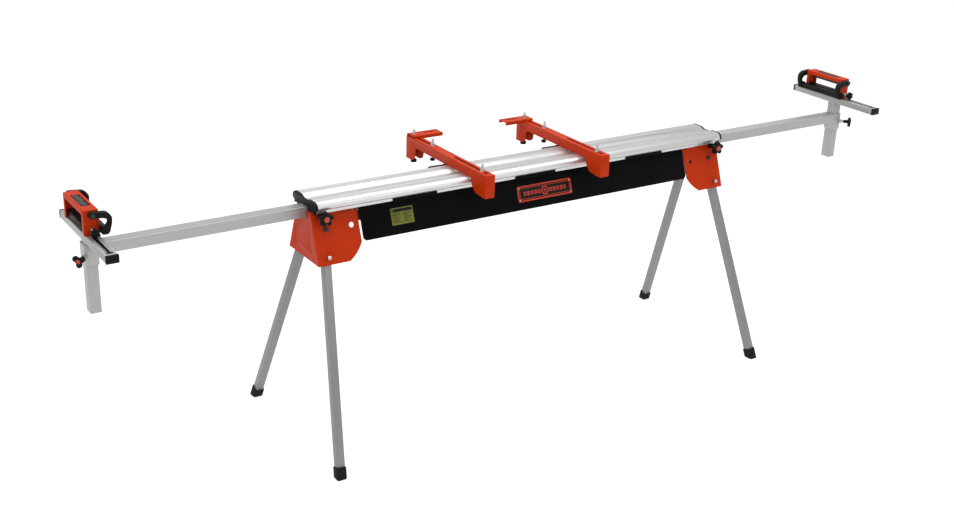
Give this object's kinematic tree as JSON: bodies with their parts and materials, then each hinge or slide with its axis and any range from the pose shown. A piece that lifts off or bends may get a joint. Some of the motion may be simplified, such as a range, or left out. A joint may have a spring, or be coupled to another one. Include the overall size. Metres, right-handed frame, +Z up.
{
  "type": "folding miter saw stand",
  "caption": "Folding stand for a miter saw: aluminium beam, telescoping arms with height-adjustable roller supports, two sliding saw mounting bars and splayed folding legs.",
  "frame": {"origin": "on the floor under the middle of the beam", "axes": "+X along the beam towards the right arm, +Y to the back, +Z up"},
  "size_m": [2.8774, 0.614, 0.8663],
  "materials": {
    "beam_aluminium": "satin extruded, brushed along its length",
    "tube_aluminium": "satin extruded",
    "leg_steel": "grey, satin",
    "orange_paint": "powder coated, semi-gloss",
    "black_paint": "powder coated, satin",
    "black_plastic": "fine moulded texture",
    "black_rubber": "matte",
    "roller_grey": "satin",
    "zinc_steel": "zinc plated",
    "name_plate_face": null,
    "label_face": null
  },
  "bodies": {
    "stand": {"beam_rail": "beam_aluminium", "left_beam_cap": "black_plastic", "right_beam_cap": "black_plastic", "left_leg_bracket": "orange_paint", "right_leg_bracket": "orange_paint", "bracket_screws": "zinc_steel", "leg_pivot_bolts": "black_paint", "front_side_panel": "black_paint", "rear_side_panel": "black_paint", "name_plate": "name_plate_face", "info_label": "label_face"},
    "left_front_leg_body": {"left_front_leg": "leg_steel", "left_front_foot": "black_rubber"},
    "left_front_lock_pin_body": {"left_front_lock_pin": "zinc_steel"},
    "left_rear_leg_body": {"left_rear_leg": "leg_steel", "left_rear_foot": "black_rubber"},
    "left_rear_lock_pin_body": {"left_rear_lock_pin": "zinc_steel"},
    "left_arm_body": {"left_arm": "tube_aluminium", "left_arm_plug": "black_plastic"},
    "left_arm_knob_body": {"left_arm_knob": "black_plastic"},
    "left_post_body": {"left_post": "tube_aluminium", "left_tee_bar": "tube_aluminium", "left_tee_caps": "black_plastic"},
    "left_post_knob_body": {"left_post_knob": "black_plastic"},
    "left_support_body": {"left_roller_frame": "orange_paint", "left_slide_shoe": "black_plastic", "left_roller_axle": "zinc_steel"},
    "left_roller_body": {"left_roller": "roller_grey"},
    "left_flip_stop_body": {"left_flip_stop": "black_plastic"},
    "left_support_knob_body": {"left_support_knob": "black_plastic"},
    "left_mount_body": {"left_mount_rail": "orange_paint", "left_cross_piece": "orange_paint", "left_mount_studs": "zinc_steel"},
    "left_clamp_lever_body": {"left_clamp_lever": "black_plastic"},
    "right_front_leg_body": {"right_front_leg": "leg_steel", "right_front_foot": "black_rubber"},
    "right_front_lock_pin_body": {"right_front_lock_pin": "zinc_steel"},
    "right_rear_leg_body": {"right_rear_leg": "leg_steel", "right_rear_foot": "black_rubber"},
    "right_rear_lock_pin_body": {"right_rear_lock_pin": "zinc_steel"},
    "right_arm_body": {"right_arm": "tube_aluminium", "right_arm_plug": "black_plastic"},
    "right_arm_knob_body": {"right_arm_knob": "black_plastic"},
    "right_post_body": {"right_post": "tube_aluminium", "right_tee_bar": "tube_aluminium", "right_tee_caps": "black_plastic"},
    "right_post_knob_body": {"right_post_knob": "black_plastic"},
    "right_support_body": {"right_roller_frame": "orange_paint", "right_slide_shoe": "black_plastic", "right_roller_axle": "zinc_steel"},
    "right_roller_body": {"right_roller": "roller_grey"},
    "right_flip_stop_body": {"right_flip_stop": "black_plastic"},
    "right_support_knob_body": {"right_support_knob": "black_plastic"},
    "right_mount_body": {"right_mount_rail": "orange_paint", "right_cross_piece": "orange_paint", "right_mount_studs": "zinc_steel"},
    "right_clamp_lever_body": {"right_clamp_lever": "black_plastic"}
  },
  "joints": [
    {"name": "left_front_leg_fold", "type": "hinge", "parent": "stand", "child": "left_front_leg_body", "pos_m": [-0.7235, -0.04447, 0.66503], "axis": [0, -0.9379, 0.3469], "range_deg": [0, 96.3]},
    {"name": "left_front_lock_push", "type": "slide", "parent": "stand", "child": "left_front_lock_pin_body", "axis": [0, 0.9379, -0.3469], "range_m": [0, 0.007]},
    {"name": "left_rear_leg_fold", "type": "hinge", "parent": "stand", "child": "left_rear_leg_body", "pos_m": [-0.7235, 0.04447, 0.66503], "axis": [0, -0.9379, -0.3469], "range_deg": [0, 96.3]},
    {"name": "left_rear_lock_push", "type": "slide", "parent": "stand", "child": "left_rear_lock_pin_body", "axis": [0, -0.9379, -0.3469], "range_m": [0, 0.007]},
    {"name": "left_arm_slide", "type": "slide", "parent": "stand", "child": "left_arm_body", "axis": [-1, 0, 0], "range_m": [-0.595, 0.07]},
    {"name": "left_arm_knob_turn", "type": "hinge", "parent": "stand", "child": "left_arm_knob_body", "pos_m": [-0.736, -0.0505, 0.712], "axis": [0, -1, 0], "continuous": true},
    {"name": "left_post_lift", "type": "slide", "parent": "left_arm_body", "child": "left_post_body", "axis": [0, 0, 1], "range_m": [-0.009, 0.12]},
    {"name": "left_post_knob_turn", "type": "hinge", "parent": "left_arm_body", "child": "left_post_knob_body", "pos_m": [-1.397, -0.0182, 0.703], "axis": [-0.7071, -0.7071, 0], "continuous": true},
    {"name": "left_support_slide", "type": "slide", "parent": "left_post_body", "child": "left_support_body", "axis": [0, 1, 0], "range_m": [-0.14, 0.04]},
    {"name": "left_roller_spin", "type": "hinge", "parent": "left_support_body", "child": "left_roller_body", "pos_m": [-1.381, 0.0475, 0.8214], "axis": [0, 1, 0], "continuous": true},
    {"name": "left_stop_flip", "type": "hinge", "parent": "left_support_body", "child": "left_flip_stop_body", "pos_m": [-1.381, 0.0475, 0.8214], "axis": [0, -1, 0], "range_deg": [0, 146]},
    {"name": "left_support_knob_turn", "type": "hinge", "parent": "left_support_body", "child": "left_support_knob_body", "pos_m": [-1.381, -0.053, 0.779], "axis": [0, -1, 0], "continuous": true},
    {"name": "left_mount_slide", "type": "slide", "parent": "stand", "child": "left_mount_body", "axis": [1, 0, 0], "range_m": [-0.33, 0.1]},
    {"name": "left_clamp_turn", "type": "hinge", "parent": "left_mount_body", "child": "left_clamp_lever_body", "pos_m": [-0.2317, 0.092, 0.741], "axis": [0, 0, 1], "range_deg": [-100, 0]},
    {"name": "right_front_leg_fold", "type": "hinge", "parent": "stand", "child": "right_front_leg_body", "pos_m": [0.7235, -0.04447, 0.66503], "axis": [0, 0.9379, -0.3469], "range_deg": [0, 96.3]},
    {"name": "right_front_lock_push", "type": "slide", "parent": "stand", "child": "right_front_lock_pin_body", "axis": [0, 0.9379, -0.3469], "range_m": [0, 0.007]},
    {"name": "right_rear_leg_fold", "type": "hinge", "parent": "stand", "child": "right_rear_leg_body", "pos_m": [0.7235, 0.04447, 0.66503], "axis": [0, 0.9379, 0.3469], "range_deg": [0, 96.3]},
    {"name": "right_rear_lock_push", "type": "slide", "parent": "stand", "child": "right_rear_lock_pin_body", "axis": [0, -0.9379, -0.3469], "range_m": [0, 0.007]},
    {"name": "right_arm_slide", "type": "slide", "parent": "stand", "child": "right_arm_body", "axis": [1, 0, 0], "range_m": [-0.595, 0.07]},
    {"name": "right_arm_knob_turn", "type": "hinge", "parent": "stand", "child": "right_arm_knob_body", "pos_m": [0.736, -0.0505, 0.712], "axis": [0, -1, 0], "continuous": true},
    {"name": "right_post_lift", "type": "slide", "parent": "right_arm_body", "child": "right_post_body", "axis": [0, 0, 1], "range_m": [-0.04, 0.09]},
    {"name": "right_post_knob_turn", "type": "hinge", "parent": "right_arm_body", "child": "right_post_knob_body", "pos_m": [1.397, -0.0182, 0.703], "axis": [0.7071, -0.7071, 0], "continuous": true},
    {"name": "right_support_slide", "type": "slide", "parent": "right_post_body", "child": "right_support_body", "axis": [0, 1, 0], "range_m": [-0.14, 0.04]},
    {"name": "right_roller_spin", "type": "hinge", "parent": "right_support_body", "child": "right_roller_body", "pos_m": [1.381, 0.0475, 0.8528], "axis": [0, 1, 0], "continuous": true},
    {"name": "right_stop_flip", "type": "hinge", "parent": "right_support_body", "child": "right_flip_stop_body", "pos_m": [1.381, 0.0475, 0.8528], "axis": [0, 1, 0], "range_deg": [0, 146]},
    {"name": "right_support_knob_turn", "type": "hinge", "parent": "right_support_body", "child": "right_support_knob_body", "pos_m": [1.381, -0.053, 0.8104], "axis": [0, -1, 0], "continuous": true},
    {"name": "right_mount_slide", "type": "slide", "parent": "stand", "child": "right_mount_body", "axis": [1, 0, 0], "range_m": [-0.1, 0.36]},
    {"name": "right_clamp_turn", "type": "hinge", "parent": "right_mount_body", "child": "right_clamp_lever_body", "pos_m": [0.1979, 0.092, 0.741], "axis": [0, 0, 1], "range_deg": [-100, 0]}
  ]
}
